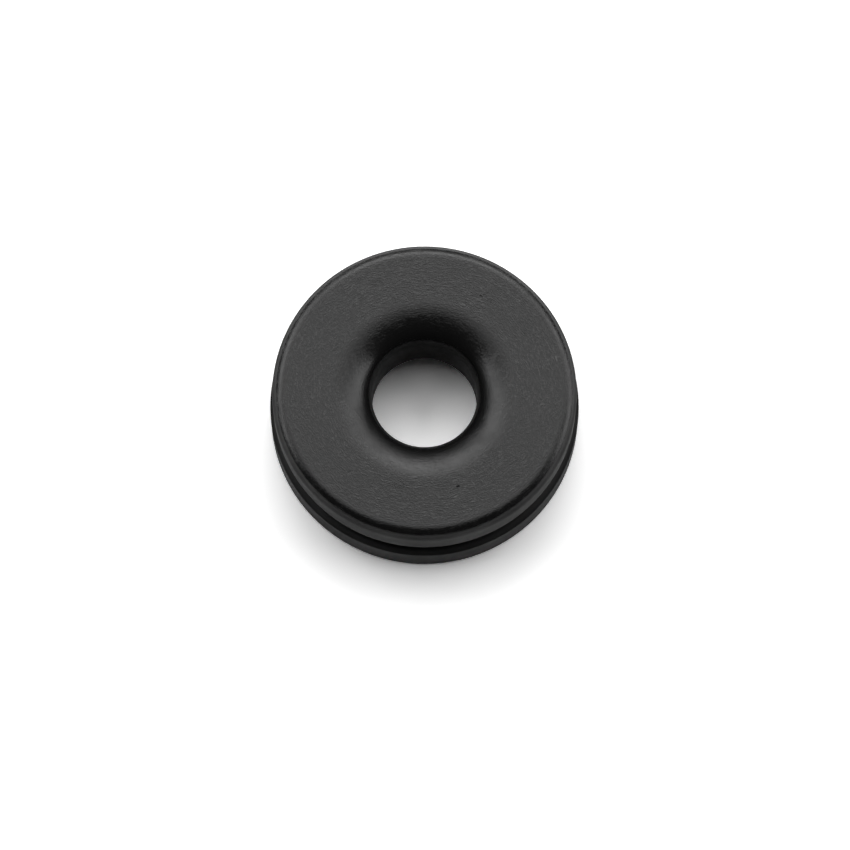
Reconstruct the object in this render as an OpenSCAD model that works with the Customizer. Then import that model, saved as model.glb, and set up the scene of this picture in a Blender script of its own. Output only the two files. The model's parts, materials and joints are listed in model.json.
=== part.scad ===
// Rubber grommet gasket: one soft moulding, round all the way, that snaps into a
// hole in a panel and guides a pipe or cable through its middle.
// Its frame: the axis is Z, the lower flange rests on z = 0 and +Z is up.
// The whole body is one profile turned about the axis, so it is one solid.

/* [Bore] */
// Diameter of the straight bore that the pipe or cable passes through
bore_d = 7.6; // [5:0.1:10]
// Width of the rounded mouth on both faces, from the bore outward
mouth_w = 2.9; // [1:0.1:2.9]
// Depth of the mouth, from the face down to where the straight bore starts
mouth_h = 2; // [0.5:0.1:2.3]

/* [Upper flange] */
// Outer diameter of the upper flange
upper_d = 22; // [19:0.1:30]
// Thickness of the upper flange, from the panel to the upper face
upper_h = 2.85; // [2:0.05:5]
// Radius of the rounded rim round the upper face
rim_r = 0.9; // [0.3:0.05:1.5]

/* [Lower flange] */
// Outer diameter of the lower flange
lower_d = 22.5; // [19:0.1:30]
// Thickness of the lower flange, from the lower face to the panel
lower_h = 2.75; // [2:0.05:5]
// Radius of the edge that stands on the ground
foot_r = 0.15; // [0.05:0.01:0.5]

/* [Panel groove] */
// Width of the groove, which is the thickness of the panel that it grips
groove_w = 1.6; // [0.8:0.1:4]
// Diameter of the neck inside the groove, which fills the hole in the panel
neck_d = 15; // [11:0.1:18]
// Radius where the neck runs into the two flanges
neck_r = 0.25; // [0.05:0.05:0.35]
// Radius of the lips on both sides of the groove
lip_r = 0.06; // [0.02:0.01:0.3]

/* [Hidden] */
rubber = [0.16, 0.16, 0.155];
$fn = 144;
arc_step = 6;              // degrees between the points of an arc

groove_z = lower_h;                    // floor of the groove
upper_z = lower_h + groove_w;          // roof of the groove
total_h = upper_z + upper_h;
bore_r = bore_d / 2;
mouth_edge = bore_r + mouth_w;         // where the mouth meets the flat face

// Points of an oval arc about c, w wide and h high to each side, from angle a0 to
// angle a1 in degrees. A positive angle turns from the outward radius towards +Z.
function oval(c, w, h, a0, a1) =
    let (n = ceil(abs(a1 - a0) / arc_step))
    [for (i = [0 : n]) let (a = a0 + (a1 - a0) * i / n) c + [w * cos(a), h * sin(a)]];

function arc(c, r, a0, a1) = oval(c, r, r, a0, a1);

// Rounded mouths: quarters of an oval, level with the face at one end and with the
// bore at the other, so nothing that passes through meets an edge
function lower_mouth() = oval([mouth_edge, mouth_h], mouth_w, mouth_h, 270, 180);
function upper_mouth() = oval([mouth_edge, total_h - mouth_h], mouth_w, mouth_h, 180, 90);

// Outer side of the upper flange, from the upper face down to the groove's roof
function upper_side() = concat(
    arc([upper_d / 2 - rim_r, total_h - rim_r], rim_r, 90, 0),
    arc([upper_d / 2 - lip_r, upper_z + lip_r], lip_r, 0, -90));

// Groove: its roof runs in to the neck, and its floor runs out again
function groove() = concat(
    arc([neck_d / 2 + neck_r, upper_z - neck_r], neck_r, 90, 180),
    arc([neck_d / 2 + neck_r, groove_z + neck_r], neck_r, 180, 270));

// Outer side of the lower flange, from the groove's floor down to the ground
function lower_side() = concat(
    arc([lower_d / 2 - lip_r, groove_z - lip_r], lip_r, 90, 0),
    arc([lower_d / 2 - foot_r, foot_r], foot_r, 0, -90));

// Half section of the gasket, with the radius along x and the height along y
module section() {
    polygon(concat(lower_mouth(), upper_mouth(), upper_side(), groove(), lower_side()));
}

module gasket() {
    color(rubber) rotate_extrude() section();
}

gasket();
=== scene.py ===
# %% [markdown]
# # A rubber grommet gasket, turned from one section
#
# The real object is a single moulding of soft black rubber. It is round all the way: a wide
# lower flange, a groove that grips the edge of a panel, an upper flange with a rounded rim,
# and a hole through the middle whose ends open in smooth mouths.
#
# This lesson makes it in Blender in the way a wood turner or a mould maker thinks of it. The
# section, that is the outline of a cut through one side, is drawn first with a pen made of one
# vertex. The section is then spun about the axis. After that come the small flaws of a real
# moulding, its skin, the floor, the lamps and the camera.

import bpy
import json
import math
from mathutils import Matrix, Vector

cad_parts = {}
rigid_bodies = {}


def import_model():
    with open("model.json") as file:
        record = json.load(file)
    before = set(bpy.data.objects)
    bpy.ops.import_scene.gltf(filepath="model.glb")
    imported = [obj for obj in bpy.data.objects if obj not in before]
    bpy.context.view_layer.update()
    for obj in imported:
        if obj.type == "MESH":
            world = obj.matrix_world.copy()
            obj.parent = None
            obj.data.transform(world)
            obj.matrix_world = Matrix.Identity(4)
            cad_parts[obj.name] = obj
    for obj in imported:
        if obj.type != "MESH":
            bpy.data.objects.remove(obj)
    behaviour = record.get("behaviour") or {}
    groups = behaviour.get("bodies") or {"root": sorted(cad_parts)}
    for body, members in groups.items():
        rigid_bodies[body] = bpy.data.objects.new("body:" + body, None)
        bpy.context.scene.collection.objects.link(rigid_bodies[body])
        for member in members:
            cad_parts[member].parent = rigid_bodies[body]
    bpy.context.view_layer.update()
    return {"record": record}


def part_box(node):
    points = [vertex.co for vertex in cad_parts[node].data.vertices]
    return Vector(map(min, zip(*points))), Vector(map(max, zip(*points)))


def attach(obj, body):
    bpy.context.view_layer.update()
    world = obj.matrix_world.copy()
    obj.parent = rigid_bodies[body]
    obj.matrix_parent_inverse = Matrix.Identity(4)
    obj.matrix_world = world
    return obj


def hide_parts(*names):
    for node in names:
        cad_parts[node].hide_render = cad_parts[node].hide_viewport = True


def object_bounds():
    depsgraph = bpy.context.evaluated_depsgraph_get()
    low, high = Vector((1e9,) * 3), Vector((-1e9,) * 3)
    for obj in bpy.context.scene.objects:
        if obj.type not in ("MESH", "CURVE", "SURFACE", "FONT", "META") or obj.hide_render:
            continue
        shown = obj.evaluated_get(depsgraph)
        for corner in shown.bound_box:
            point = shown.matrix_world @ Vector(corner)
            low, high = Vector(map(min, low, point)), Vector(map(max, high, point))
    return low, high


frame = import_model()

# %% [markdown]
# ## Sizes
#
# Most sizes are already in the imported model: the box gives the lower flange and the height,
# and the record's mounts give the bore and the panel groove. Reading them here, and not typing
# them again, means that a changed part still gets a skin that fits. Only the sizes that the
# record doesn't hold are written out. Everything is in metres, which is Blender's own unit.

# %% Read the sizes
mounts = {mount["name"]: mount for mount in frame["record"]["mounts"]}
mm = 0.001

low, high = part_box("gasket")
outer_r = min(high[0], high[1])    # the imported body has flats, so one side is a hair narrower
total_h = high[2]
bore_r = mounts["bore"]["dims"]["r_mm"] * mm
mouth_depth = (total_h - mounts["bore"]["dims"]["length_mm"] * mm) / 2
neck_r = mounts["panel_groove"]["dims"]["r_mm"] * mm
groove_half = mounts["panel_groove"]["dims"]["length_mm"] * mm / 2
groove_mid = mounts["panel_groove"]["pos_m"][2]
groove_low, groove_high = groove_mid - groove_half, groove_mid + groove_half

upper_r = 11.0 * mm
rim_round = 0.9 * mm
mouth_width = 2.9 * mm
neck_round = 0.25 * mm
lip_round = 0.06 * mm
foot_round = 0.15 * mm
seam = 0.005 * mm                  # the last step of the section, where its two ends meet

mouth_edge = bore_r + mouth_width
print(f"bore {2000 * bore_r:.2f} mm, mouth {1000 * mouth_depth:.3f} mm deep,"
      f" groove from {1000 * groove_low:.2f} to {1000 * groove_high:.2f} mm")

# %% [markdown]
# ## A pen for the section
#
# A section could be typed as a list of points, or cut from a cylinder with many insets. Drawing
# it is closer to how a draughtsman works: a pen stands at one point, goes straight to the next
# one, or swings round a centre. In edit mode a lone vertex is such a pen. Extruding it draws a
# straight line, and spinning it about a centre draws an arc. The section lies in the XZ plane,
# so every arc turns about the Y direction.
#
# The mouths of the hole are wider than they are deep, so they are quarters of an oval. An oval
# is a circle that somebody has squashed: the pen swings a round arc, and the arc is then scaled
# in Z towards the face that it starts from.

# %% The pen
QUARTER = math.pi / 2
pen = {"at": (0, 0)}


def start_pen(x, z, name):
    """Adds a plane, melts it to one vertex at (x, z) and leaves it ready in edit mode."""
    bpy.ops.object.select_all(action="DESELECT")
    bpy.ops.mesh.primitive_plane_add(size=mm, location=(0, 0, 0))
    piece = bpy.context.object
    piece.name = name
    bpy.ops.object.mode_set(mode="EDIT")
    bpy.ops.mesh.select_mode(type="VERT")
    bpy.ops.mesh.select_all(action="SELECT")
    bpy.ops.mesh.merge(type="CENTER")
    bpy.ops.transform.translate(value=(x, 0, z))
    pen["at"] = (x, z)
    return piece


def straight_to(x, z, parts=1):
    """Draws a straight line to (x, z), in equal parts."""
    step = ((x - pen["at"][0]) / parts, 0, (z - pen["at"][1]) / parts)
    for _ in range(parts):
        bpy.ops.mesh.extrude_region_move(TRANSFORM_OT_translate={"value": step})
    pen["at"] = (x, z)


def swing(centre_x, centre_z, turn, parts):
    """Swings the pen round a centre. A positive turn is clockwise as seen from the front."""
    bpy.ops.mesh.spin(steps=parts, angle=-turn, center=(centre_x, 0, centre_z), axis=(0, 1, 0))
    dx, dz = pen["at"][0] - centre_x, pen["at"][1] - centre_z
    c, s = math.cos(turn), math.sin(turn)
    pen["at"] = (centre_x + dx * c + dz * s, centre_z - dx * s + dz * c)

# %% [markdown]
# Two more helpers work on points that are already drawn. The first selects points by their place
# and not by a click or a number, so it still finds the right ones after a size has changed. The
# second squashes an arc, and leaves the pen on the arc's moved end.

# %% Pick points and squash an arc
TOUCH = 0.001 * mm                 # points nearer than this count as the same place


def pick(piece, test):
    """In edit mode, selects the points whose place passes the test."""
    bpy.ops.mesh.select_all(action="DESELECT")
    bpy.ops.object.mode_set(mode="OBJECT")
    chosen = [test(vertex.co) for vertex in piece.data.vertices]
    piece.data.vertices.foreach_set("select", chosen)
    bpy.ops.object.mode_set(mode="EDIT")
    return sum(chosen)


def squash_arc(piece, face_z, share, test):
    """Scales the points that pass the test towards z = face_z, and lifts the pen again."""
    pick(piece, test)
    bpy.ops.transform.resize(value=(1, 1, share), center_override=(0, 0, face_z))
    x, z = pen["at"][0], face_z + (pen["at"][1] - face_z) * share
    pick(piece, lambda co: math.hypot(co.x - x, co.z - z) < TOUCH)
    pen["at"] = (x, z)

# %% [markdown]
# ## Drawing the section
#
# The pen starts in the groove, where nobody looks, because the pattern of the skin will have its
# seam there. It goes up and out under the upper flange, over the rounded rim, across the face,
# round the mouth, down the bore, and back by the same way on the lower side. The small rounds
# where the walls meet the groove are the edges that a mould leaves. Rounds that show most get the
# most parts.

# %% Draw the upper half of the section
gasket = start_pen(neck_r, groove_mid, "gasket_moulding")
straight_to(neck_r, groove_high - neck_round)
swing(neck_r + neck_round, groove_high - neck_round, QUARTER, parts=4)
straight_to(upper_r - lip_round, groove_high, parts=5)
swing(upper_r - lip_round, groove_high + lip_round, -QUARTER, parts=4)
straight_to(upper_r, total_h - rim_round, parts=7)
swing(upper_r - rim_round, total_h - rim_round, -QUARTER, parts=14)
straight_to(mouth_edge, total_h, parts=22)
swing(mouth_edge, total_h - mouth_width, -QUARTER, parts=20)
squash = mouth_depth / mouth_width
squash_arc(gasket, total_h, squash, lambda co: co.x < mouth_edge - TOUCH)
print("pen at the top of the bore:", [round(1000 * v, 3) for v in pen["at"]])

# %% Draw the lower half
straight_to(bore_r, mouth_depth, parts=8)
swing(mouth_edge, mouth_depth, -QUARTER, parts=10)
squash_arc(gasket, mouth_depth, squash,
           lambda co: co.x < mouth_edge + TOUCH and co.z < mouth_depth - TOUCH)
straight_to(outer_r - foot_round, 0, parts=6)
swing(outer_r - foot_round, foot_round, -QUARTER, parts=4)
straight_to(outer_r, groove_low - lip_round, parts=7)
swing(outer_r - lip_round, groove_low - lip_round, -QUARTER, parts=4)
straight_to(neck_r + neck_round, groove_low, parts=5)
swing(neck_r + neck_round, groove_low + neck_round, QUARTER, parts=4)
straight_to(neck_r, groove_mid - seam)
straight_to(neck_r, groove_mid)
bpy.ops.object.mode_set(mode="OBJECT")
print(f"section: {len(gasket.data.vertices)} points, pen back at",
      [round(1000 * v, 3) for v in pen["at"]])

# %% [markdown]
# ## How far along the section
#
# The skin of a turned or moulded ring follows its section: its wrinkles run round the axis, and
# across them the pattern is narrow. For that the material has to know how far along the section
# a point lies. Each point of the section is given that distance now, while it is one simple
# line, and the spin carries the number round to every copy.
#
# Two more numbers tell the regions of the skin apart. "grain" is how much of the wrinkled skin a
# point has: the flat face has all of it, the rim and the mouth less, and the walls and the bore
# hardly any. "gloss" is how smooth the skin is to the light: most on the rim and in the mouth,
# which get rubbed, and least on the walls and in the bore, which keep the fine matt finish of
# the mould. Each region adds its share to the face's own numbers, and its share grows slowly from
# the radius where it starts to the radius where it is full.

# %% The regions of the skin
def ramp(value, start, end):
    """Goes from 0 at start to 1 at end, and leaves and arrives softly."""
    t = min(max((value - start) / (end - start), 0), 1)
    return t * t * (3 - 2 * t)


# Region, radius where it starts, radius where it is full, grain added, gloss added
regions = [
    ("mouth", mouth_edge + 0.5 * mm, mouth_edge - 0.9 * mm, -0.3, 0.19),
    ("throat", bore_r + 1.6 * mm, bore_r + 0.2 * mm, -0.4, 0.0),
    ("bore", bore_r + 0.3 * mm, bore_r + 0.02 * mm, -0.2, -0.88),
    ("rim", upper_r - rim_round - 0.25 * mm, upper_r - rim_round + 0.1 * mm, -0.4, 0.25),
    ("wall", upper_r - 0.38 * mm, upper_r - 0.05 * mm, -0.5, -0.9),
]
FACE_GRAIN, FACE_GLOSS = 1.0, 0.74


def skin(p):
    """Gives the grain and the gloss of a point of the section."""
    grain, gloss = FACE_GRAIN, FACE_GLOSS
    for _, start, full, more_grain, more_gloss in regions:
        share = ramp(p.x, start, full)
        grain += more_grain * share
        gloss += more_gloss * share
    return grain, gloss


for name, start, full, _, _ in regions:
    print(f"{name}: from radius {1000 * start:.2f} to {1000 * full:.2f} mm")

# %% Number the section's points
points = [vertex.co.copy() for vertex in gasket.data.vertices]
along = [0.0]
for before, after in zip(points, points[1:]):
    along.append(along[-1] + (after - before).length)
round_trip = along[-1]
along[-1] = along[0]               # the pen ends where it began, and the two points get merged
grains, glosses = zip(*(skin(p) for p in points))
for name, values in (("along", along), ("grain", grains), ("gloss", glosses)):
    gasket.data.attributes.new(name, "FLOAT", "POINT").data.foreach_set("value", values)
print(f"the section is {1000 * round_trip:.2f} mm round; grain {min(grains):.2f} to"
      f" {max(grains):.2f}, gloss {min(glosses):.2f} to {max(glosses):.2f}")

# %% [markdown]
# ## From a section to a ring
#
# A lathe turns the work past a fixed tool. Spinning the section about the Z axis does the same,
# and it keeps every edge and every round of the section true all the way. After a full turn the
# first and the last copy lie in the same place, so their points are merged by distance, and the
# normals are made to point outwards. The ring is 71 mm round its lower flange, so 600 steps leave
# facets of 0.12 mm, which are too small to show along the edge.

# %% Spin the section about the axis
STEPS = 600
SAME_PLACE = 0.0005 * mm           # points nearer than this are merged
bpy.ops.object.mode_set(mode="EDIT")
bpy.ops.mesh.select_all(action="SELECT")
bpy.ops.mesh.spin(steps=STEPS, angle=2 * math.pi, center=(0, 0, 0), axis=(0, 0, 1))
bpy.ops.mesh.select_all(action="SELECT")
bpy.ops.mesh.remove_doubles(threshold=SAME_PLACE)
bpy.ops.mesh.normals_make_consistent(inside=False)
bpy.ops.object.mode_set(mode="OBJECT")
bpy.ops.object.transform_apply(location=True, rotation=True, scale=True)
print(f"body: {len(gasket.data.vertices)} points, {len(gasket.data.polygons)} faces")

# %% [markdown]
# ## The waves of a soft moulding
#
# Rubber shrinks a little as it cools, and not by the same amount everywhere. A turned shape
# without that looks too true, above all where its faces mirror the edge of a lamp. A Displace
# modifier with a cloud texture pulls the skin in, by up to a hundredth of a millimetre. It only
# pulls inwards, so the moulding never grows past its size. The ring that it stands on is left
# out.

# %% Add the waves
def shrink(piece, name, size, depth):
    """Pulls the skin in by up to depth, in waves of the given size."""
    clouds = bpy.data.textures.new(name, "CLOUDS")
    clouds.noise_scale = size
    clouds.noise_depth = 1
    waves = piece.modifiers.new(name, "DISPLACE")
    waves.texture = clouds
    waves.texture_coords = "LOCAL"
    waves.mid_level = 1.0
    waves.strength = depth
    waves.vertex_group = "skin"
    bpy.ops.object.modifier_apply(modifier=name)


STANDS = 0.2 * mm                  # the skin below this height keeps its true form
bpy.ops.object.mode_set(mode="EDIT")
free = pick(gasket, lambda co: co.z > STANDS)
bpy.ops.object.vertex_group_add()
bpy.ops.object.vertex_group_assign()
bpy.ops.object.mode_set(mode="OBJECT")
gasket.vertex_groups.active.name = "skin"
shrink(gasket, "slow_waves", 3.5 * mm, 0.009 * mm)
shrink(gasket, "short_waves", 1.3 * mm, 0.003 * mm)
print(f"{free} points follow the waves")

# %% [markdown]
# ## Pits and nibs
#
# Where a grain of dust sat in the mould, or a bubble met it, the face has a small pit or a small
# raised nib. They are about a quarter of a millimetre wide, which is finer than the mesh. So the
# mesh is first subdivided round each one. Its new points are joined to the coarse mesh by
# triangles, so that no face is left with points in the middle of an edge. Then a point or a short
# row of points is moved with proportional editing, which takes the neighbours along.

# %% A helper that presses a mark
FINER_OUT_TO, LEAD_WITHIN = 2.2, 0.2   # shares of a mark's size: the finer mesh, the moved points


def mark(piece, x, y, depth, size, length=0.0, turn=0.0):
    """Presses a pit of that depth at (x, y) of the upper face. A negative depth raises a nib."""
    half = Vector((math.cos(turn), math.sin(turn), 0)) * length / 2
    middle = Vector((x, y, total_h))

    def off(co):
        place = co - middle
        share = max(-1, min(1, place.dot(half) / half.length_squared)) if length else 0
        return (place - half * share).length

    pick(piece, lambda co: off(co) < FINER_OUT_TO * size)
    bpy.ops.mesh.subdivide(number_cuts=4, ngon=False)
    count = pick(piece, lambda co: off(co) < LEAD_WITHIN * size)
    bpy.ops.transform.translate(value=(0, 0, -depth), use_proportional_edit=True,
                                proportional_edit_falloff="SMOOTH", proportional_size=size)
    return count


# %% Press the pits and raise the nibs
# Place x and y, depth, size, length of the row in mm, and the row's turn in radians
marks = [
    (2.38, -7.22, 0.055, 0.11, 0.14, 0.5), (4.07, 6.97, 0.030, 0.10, 0.06, 2.2),
    (0.10, 7.95, 0.010, 0.11, 0.08, 0.0), (-5.40, -6.15, 0.009, 0.12, 0.10, 0.8),
    (4.55, -5.90, -0.005, 0.09, 0.04, 1.0), (-2.55, -5.75, -0.005, 0.09, 0.04, 2.6),
]
bpy.ops.object.mode_set(mode="EDIT")
for x, y, depth, size, length, turn in marks:
    moved = mark(gasket, x * mm, y * mm, depth * mm, size * mm, length * mm, turn)
    print(f"mark at ({x}, {y}) mm: {moved} points lead")
bpy.ops.object.mode_set(mode="OBJECT")

# %% [markdown]
# All faces are then shaded smooth, apart from edges that turn by more than 30 degrees. Every round
# of the section turns by less than that from part to part, so nothing looks faceted.

# %% Shade it smooth
bpy.ops.object.shade_smooth_by_angle(angle=math.radians(30))
gasket.data.calc_loop_triangles()
print(f"moulding: {len(gasket.data.loop_triangles)} triangles")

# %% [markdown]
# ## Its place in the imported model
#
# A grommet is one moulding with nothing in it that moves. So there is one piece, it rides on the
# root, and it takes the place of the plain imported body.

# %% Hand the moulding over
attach(gasket, "root")
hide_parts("gasket")
moulding_low, moulding_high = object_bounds()
print("moulding box:", [round(1000 * v, 4) for v in moulding_low],
      [round(1000 * v, 4) for v in moulding_high], "mm")

# %% [markdown]
# ## The rubber's skin
#
# Black rubber takes its look from its gloss and not from its colour, which is nearly black all
# over. Its skin is covered with fine wrinkles that run round the axis. They are a tenth of a
# millimetre wide and three times as long, and they drift and swirl a little. A picture of such a
# skin could be wrapped round the ring, but noise fits any size and never repeats. A noise node
# draws round blobs in the space that it reads. Here that space is the place on the object, where
# a step along the section counts for three steps round it, so each blob is drawn out into a
# dash. A slow second noise bends the first one, and that makes the swirls.

# %% Helpers for a material's nodes
def new_material(name):
    """Adds a node material and returns it with its nodes, its links and its main shader."""
    material = bpy.data.materials.new(name)
    material.use_nodes = True
    tree = material.node_tree
    return material, tree.nodes, tree.links, tree.nodes["Principled BSDF"]


def node(nodes, kind, **settings):
    """Adds a node of a kind, such as TexNoise, and sets its properties."""
    made = nodes.new("ShaderNode" + kind)
    for key, value in settings.items():
        setattr(made, key, value)
    return made


def noise(nodes, links, vector, scale, detail, roughness=0.5):
    """Adds a noise texture that reads a vector."""
    made = node(nodes, "TexNoise")
    made.inputs["Scale"].default_value = scale
    made.inputs["Detail"].default_value = detail
    made.inputs["Roughness"].default_value = roughness
    links.new(vector, made.inputs["Vector"])
    return made


def spread(nodes, links, value, from_low, from_high, to_low, to_high):
    """Maps a range of values to another one."""
    made = node(nodes, "MapRange")
    for name, number in (("From Min", from_low), ("From Max", from_high),
                         ("To Min", to_low), ("To Max", to_high)):
        made.inputs[name].default_value = number
    links.new(value, made.inputs["Value"])
    return made.outputs["Result"]


def combine(nodes, links, operation, first, second):
    """Adds a Math node with two inputs, each a socket or a number."""
    made = node(nodes, "Math", operation=operation)
    for socket, value in zip(made.inputs, (first, second)):
        if hasattr(value, "links"):
            links.new(value, socket)
        else:
            socket.default_value = value
    return made.outputs["Value"]

# %% The pattern's own space
ROUND, ACROSS = 3000, 9500         # pattern steps in a metre, round the axis and across
SWIRLS = 600                       # swirls in a metre
SWIRL_PUSH = (4.0, 4.0, 8.0)       # how far a swirl pushes the pattern, in its own steps

rubber, nodes, links, skin_shader = new_material("black_moulded_rubber")
place = node(nodes, "TexCoord").outputs["Object"]
along_value = node(nodes, "Attribute", attribute_name="along").outputs["Fac"]
grain_value = node(nodes, "Attribute", attribute_name="grain").outputs["Fac"]
gloss_value = node(nodes, "Attribute", attribute_name="gloss").outputs["Fac"]

flat = node(nodes, "Mapping")
flat.inputs["Scale"].default_value = (ROUND, ROUND, 0)
links.new(place, flat.inputs["Vector"])
lift = node(nodes, "CombineXYZ")
links.new(combine(nodes, links, "MULTIPLY", along_value, ACROSS), lift.inputs["Z"])
stretched = node(nodes, "VectorMath", operation="ADD")
links.new(flat.outputs["Vector"], stretched.inputs[0])
links.new(lift.outputs["Vector"], stretched.inputs[1])

bend = noise(nodes, links, place, SWIRLS, 2)
centred = node(nodes, "VectorMath", operation="SUBTRACT")
centred.inputs[1].default_value = (0.5, 0.5, 0.5)
links.new(bend.outputs["Color"], centred.inputs[0])
pushed = node(nodes, "VectorMath", operation="MULTIPLY")
pushed.inputs[1].default_value = SWIRL_PUSH
links.new(centred.outputs["Vector"], pushed.inputs[0])
swirled = node(nodes, "VectorMath", operation="ADD")
links.new(stretched.outputs["Vector"], swirled.inputs[0])
links.new(pushed.outputs["Vector"], swirled.inputs[1])
print(f"a wrinkle is about {1000 / ROUND:.2f} mm long and {1000 / ACROSS:.2f} mm wide")

# %% [markdown]
# ## Wrinkles, lines and specks
#
# Two things are drawn in that space. The wrinkles are a plain noise with fine detail. Among them
# run thin raised lines, a millimetre or two long, left by the tool that cut the mould's face. A
# line is the place where a noise passes its middle value, so the distance from that value gives
# a sharp crest. A slow noise lets the lines come and go. The third part is a dust of fine specks
# that follow no direction, as powder on the mould leaves them. The sum is a height, and a Bump
# node turns it into a skin of a few hundredths of a millimetre.

# %% The height of the skin
LINE_STRETCH = (0.22, 0.22, 0.5)   # the lines' own steps: below 1 is longer and wider
LINE_HALF_WIDTH = 0.035            # in values of the noise that draws the lines
LINE_BREAKS, SPECKS = 900, 8500    # steps in a metre of the noise for the breaks and the specks
LINE_HEIGHT, SPECK_HEIGHT = 0.18, 0.4
MIDDLE = 0.2                       # taken off, so that the sum keeps the wrinkles' own middle
SKIN_DEPTH = 0.034 * mm

wrinkles = noise(nodes, links, swirled.outputs["Vector"], 1.0, 3, 0.65).outputs["Fac"]
longer = node(nodes, "Mapping")
longer.inputs["Scale"].default_value = LINE_STRETCH
links.new(swirled.outputs["Vector"], longer.inputs["Vector"])
crossing = noise(nodes, links, longer.outputs["Vector"], 1.0, 1).outputs["Fac"]
off_middle = combine(nodes, links, "ABSOLUTE",
                     combine(nodes, links, "SUBTRACT", crossing, 0.5), 0)
crest = spread(nodes, links, off_middle, 0.0, LINE_HALF_WIDTH, 1.0, 0.0)
come_and_go = noise(nodes, links, place, LINE_BREAKS, 1).outputs["Fac"]
lines = combine(nodes, links, "MULTIPLY", crest,
                spread(nodes, links, come_and_go, 0.45, 0.6, 0.0, 1.0))
specks = noise(nodes, links, place, SPECKS, 1).outputs["Fac"]
height = combine(nodes, links, "ADD", wrinkles,
                 combine(nodes, links, "MULTIPLY", lines, LINE_HEIGHT))
height = combine(nodes, links, "ADD", height,
                 combine(nodes, links, "MULTIPLY", specks, SPECK_HEIGHT))
height = combine(nodes, links, "SUBTRACT", height, MIDDLE)
bump = node(nodes, "Bump")
bump.inputs["Distance"].default_value = SKIN_DEPTH
links.new(height, bump.inputs["Height"])
links.new(grain_value, bump.inputs["Strength"])
links.new(bump.outputs["Normal"], skin_shader.inputs["Normal"])
print(f"skin: {SKIN_DEPTH / mm:.3f} mm deep, {len(nodes)} nodes so far")

# %% [markdown]
# ## Colour and gloss
#
# The colour is nearly black. What little grey it has is a painted highlight: a paler grey laid on
# the crests of the wrinkles, where they would catch the light. It lies on the grained face, hardly
# at all where the grain is weak, and it is thicker in some patches than in others. The roughness
# follows the gloss numbers of the section, and the same patches change it by up to a tenth.

# %% Colour
# Painted highlight: the second number is the paler grey laid on the wrinkles' crests where they
# would catch the light, and the patches make it thinner or thicker.
BLACK, CREST_HIGHLIGHT = 0.004, 0.026        # the rubber's own grey, and what the bloom adds on a crest
THIN, THICK = 0.3, 1.7             # shares of the bloom in the thinnest and the thickest patch
PATCHES = 330                      # patches in a metre

patches = noise(nodes, links, place, PATCHES, 3, 0.55).outputs["Fac"]
# Painted highlight: a paler grey on the crests of the wrinkles, where they would catch the light,
# mostly on the grained face.
painted_crest_highlight = spread(nodes, links, height, 0.5, 0.8, 0.0, CREST_HIGHLIGHT)
grained = combine(nodes, links, "POWER", grain_value, 3.0)
face_crest_highlight = combine(nodes, links, "MULTIPLY", painted_crest_highlight, grained)
patchy_crest_highlight = combine(nodes, links, "MULTIPLY", face_crest_highlight,
                  spread(nodes, links, patches, 0.3, 0.7, THIN, THICK))
shade = combine(nodes, links, "ADD", patchy_crest_highlight, BLACK)
tint = node(nodes, "CombineColor")
for channel in ("Red", "Green", "Blue"):
    links.new(shade, tint.inputs[channel])
links.new(tint.outputs["Color"], skin_shader.inputs["Base Color"])
print(f"grey from {BLACK} to {BLACK + THICK * CREST_HIGHLIGHT:.3f}")

# %% Gloss
DULLEST, SMOOTHEST = 0.95, 0.16    # roughness at gloss 0 and at gloss 1
LESS, MORE = 0.9, 1.1              # what the patches make of it
IOR = 1.43                         # a soft rubber mirrors a little less than a hard plastic

base_rough = spread(nodes, links, gloss_value, 0, 1, DULLEST, SMOOTHEST)
patchy = spread(nodes, links, patches, 0.3, 0.7, LESS, MORE)
links.new(combine(nodes, links, "MULTIPLY", base_rough, patchy), skin_shader.inputs["Roughness"])
skin_shader.inputs["IOR"].default_value = IOR
gasket.data.materials.append(rubber)
print(f"rubber: {len(nodes)} nodes")

# %% [markdown]
# ## A white floor
#
# The gasket lies on a sheet of matt white paper, far wider than the picture. Real paper gives
# back four fifths of the light, so under plain lamps it comes out as a light grey and not as
# white. More lamp light would make it white, but it would light the rubber more as well.
#
# So the floor has two coats. The first is plain paper, and it is all that scattered light meets.
# The second is added only where the camera looks, or where a mirror image or a clear body shows
# the floor, and it lifts the paper to white. Both coats are matt and are lit by the same lamps,
# so the soft shadow round the gasket stays.

# %% Lay the floor
bpy.ops.object.select_all(action="DESELECT")
bpy.ops.mesh.primitive_plane_add(size=4, location=(0, 0, 0))
floor = bpy.context.object
floor.name = "floor"
print(f"floor: {floor.dimensions.x:.0f} m wide")

# %% Its two coats
PAPER, EXTRA = 0.8, 0.62           # share of the light that each coat gives back

paper, nodes, links, plain = new_material("white_floor")
nodes.remove(plain)
output = nodes["Material Output"]
ways = node(nodes, "LightPath").outputs
shown = combine(nodes, links, "ADD", ways["Is Camera Ray"], ways["Is Glossy Ray"])
shown = combine(nodes, links, "ADD", shown, ways["Is Transmission Ray"])
shown.node.use_clamp = True        # a ray counts once, whichever of the three it is
lit = node(nodes, "BsdfDiffuse")
lit.inputs["Color"].default_value = (PAPER, PAPER, PAPER, 1)
extra = node(nodes, "BsdfDiffuse")
extra.inputs["Color"].default_value = (EXTRA, EXTRA, EXTRA, 1)
bright = node(nodes, "AddShader")
links.new(lit.outputs["BSDF"], bright.inputs[0])
links.new(extra.outputs["BSDF"], bright.inputs[1])
chosen = node(nodes, "MixShader")
links.new(shown, chosen.inputs["Fac"])
links.new(lit.outputs["BSDF"], chosen.inputs[1])
links.new(bright.outputs["Shader"], chosen.inputs[2])
links.new(chosen.outputs["Shader"], output.inputs["Surface"])
floor.data.materials.append(paper)
print(f"paper: {PAPER} for scattered light, {PAPER + EXTRA:.2f} for the eye")

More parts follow.
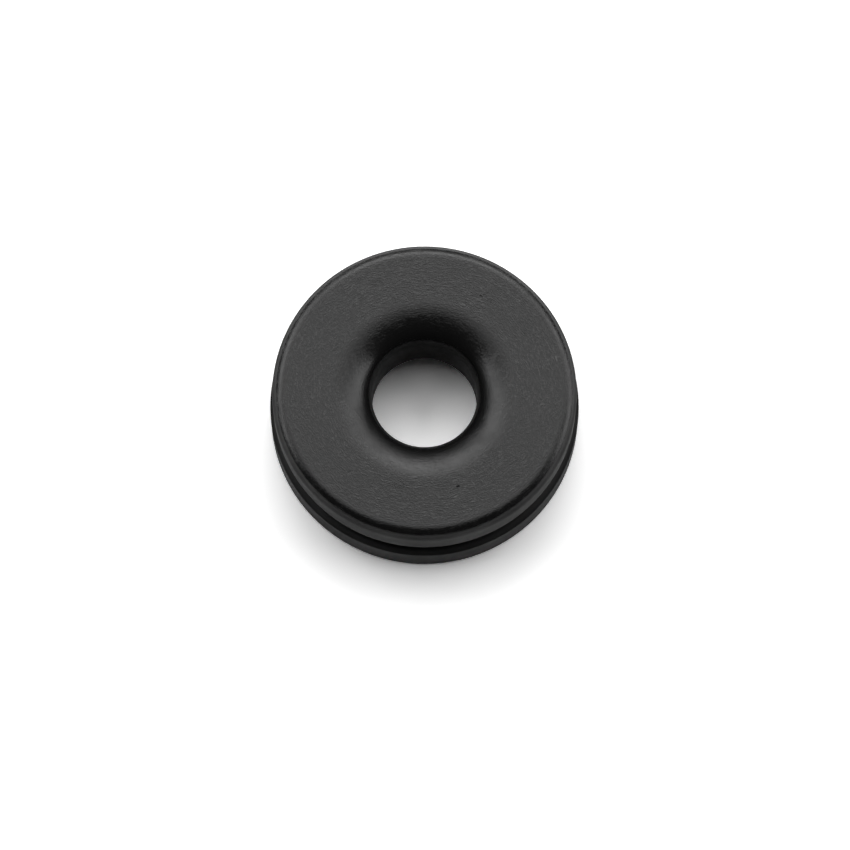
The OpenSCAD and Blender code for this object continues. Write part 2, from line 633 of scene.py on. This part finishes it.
# %% [markdown]
# ## Soft lamps
#
# Black rubber has hardly any colour of its own. What shows its shape is the mirror image of the
# lamps, smeared out by the skin, so the lamps are placed by asking what each surface mirrors.
# The flat face mirrors what is high up at the back: a wide box there, with a brighter middle,
# gives its even grey, and a box overhead fills the near side. The bright crescent of the near
# mouth is the image of the back box too, because the mouth slopes away from the viewer there.
# The boxes at both sides draw the pale line round the rim, and the lower ones catch the walls.
# No lamp stands in front, so the far side of the mouth and the near rim stay black, and the
# shadow falls towards the viewer.

# %% Hang the lamps
def softbox(name, turn, height, away, width, depth, power):
    """Adds an area lamp at an angle from the back and a height angle, aimed at the gasket."""
    a, e = math.radians(turn), math.radians(height)
    spot = Vector((away * math.cos(e) * math.sin(a), away * math.cos(e) * math.cos(a),
                   away * math.sin(e)))
    bpy.ops.object.light_add(type="AREA", location=spot)
    lamp = bpy.context.object
    lamp.name = name
    lamp.data.shape = "RECTANGLE"
    lamp.data.size, lamp.data.size_y = width, depth
    lamp.data.energy = power
    lamp.rotation_euler = (-spot).to_track_quat("-Z", "Y").to_euler()
    lamp.visible_camera = False
    return lamp


# Angles in degrees, then distance, width and depth in metres, then watts
lamps = [
    ("back_box", 0, 52, 1.0, 1.4, 0.75, 6.63),
    ("back_core", 0, 50, 0.98, 0.55, 0.3, 1.7),
    ("back_low", 0, 22, 1.0, 1.5, 0.22, 0.871),
    ("left_box", -70, 42, 1.0, 0.8, 0.5, 3.64),
    ("right_box", 70, 42, 1.0, 0.8, 0.5, 2.73),
    ("low_left", -84, 24, 1.0, 0.8, 0.35, 0.39),
    ("low_right", 84, 24, 1.0, 0.8, 0.35, 2.08),
    ("top_box", 0, 83, 1.0, 0.9, 0.4, 1.62),
]
for settings in lamps:
    lamp = softbox(*settings)
    print(f"{lamp.name}: {lamp.data.energy:.2f} W, {lamp.location.z:.2f} m above the floor")

# %% [markdown]
# The room itself gives a trace of light from every side, as pale walls do. It keeps the deepest
# shadows, such as the groove, just above pure black.

# %% A trace of light from the room
world = bpy.data.worlds.new("studio")
bpy.context.scene.world = world
world.use_nodes = True
walls = world.node_tree.nodes["Background"].inputs
walls["Color"].default_value = (1, 1, 1, 1)
walls["Strength"].default_value = 0.03
print(f"room: strength {walls['Strength'].default_value:.2f}")

# %% [markdown]
# ## The camera
#
# The camera looks down from the front, at 75 degrees, so that the face, the mouth and the floor
# through the hole all show, and the flanges and the groove still show below the near rim. A long
# lens keeps the near and the far side almost equally wide. The shift moves the picture by half a
# pixel sideways and ten pixels up, out of 850, to frame the gasket without turning the camera.

# %% Set the camera
PICTURE = 850                      # pixels across
elevation = math.radians(75.3)
distance = 0.36697                 # metres, to the middle of the lower face
bpy.ops.object.camera_add(
    location=(0, -distance * math.cos(elevation), distance * math.sin(elevation)),
    rotation=(QUARTER - elevation, 0, 0))
camera = bpy.context.object
camera.data.sensor_width = 36
camera.data.lens = 211.76
camera.data.shift_x = 0.5 / PICTURE
camera.data.shift_y = -10 / PICTURE
camera.data.clip_start, camera.data.clip_end = 0.01, 10
bpy.context.scene.camera = camera
bpy.context.scene.view_settings.view_transform = "Standard"
print(f"camera: {camera.location.z:.3f} m above the floor, {camera.data.lens:.0f} mm lens")
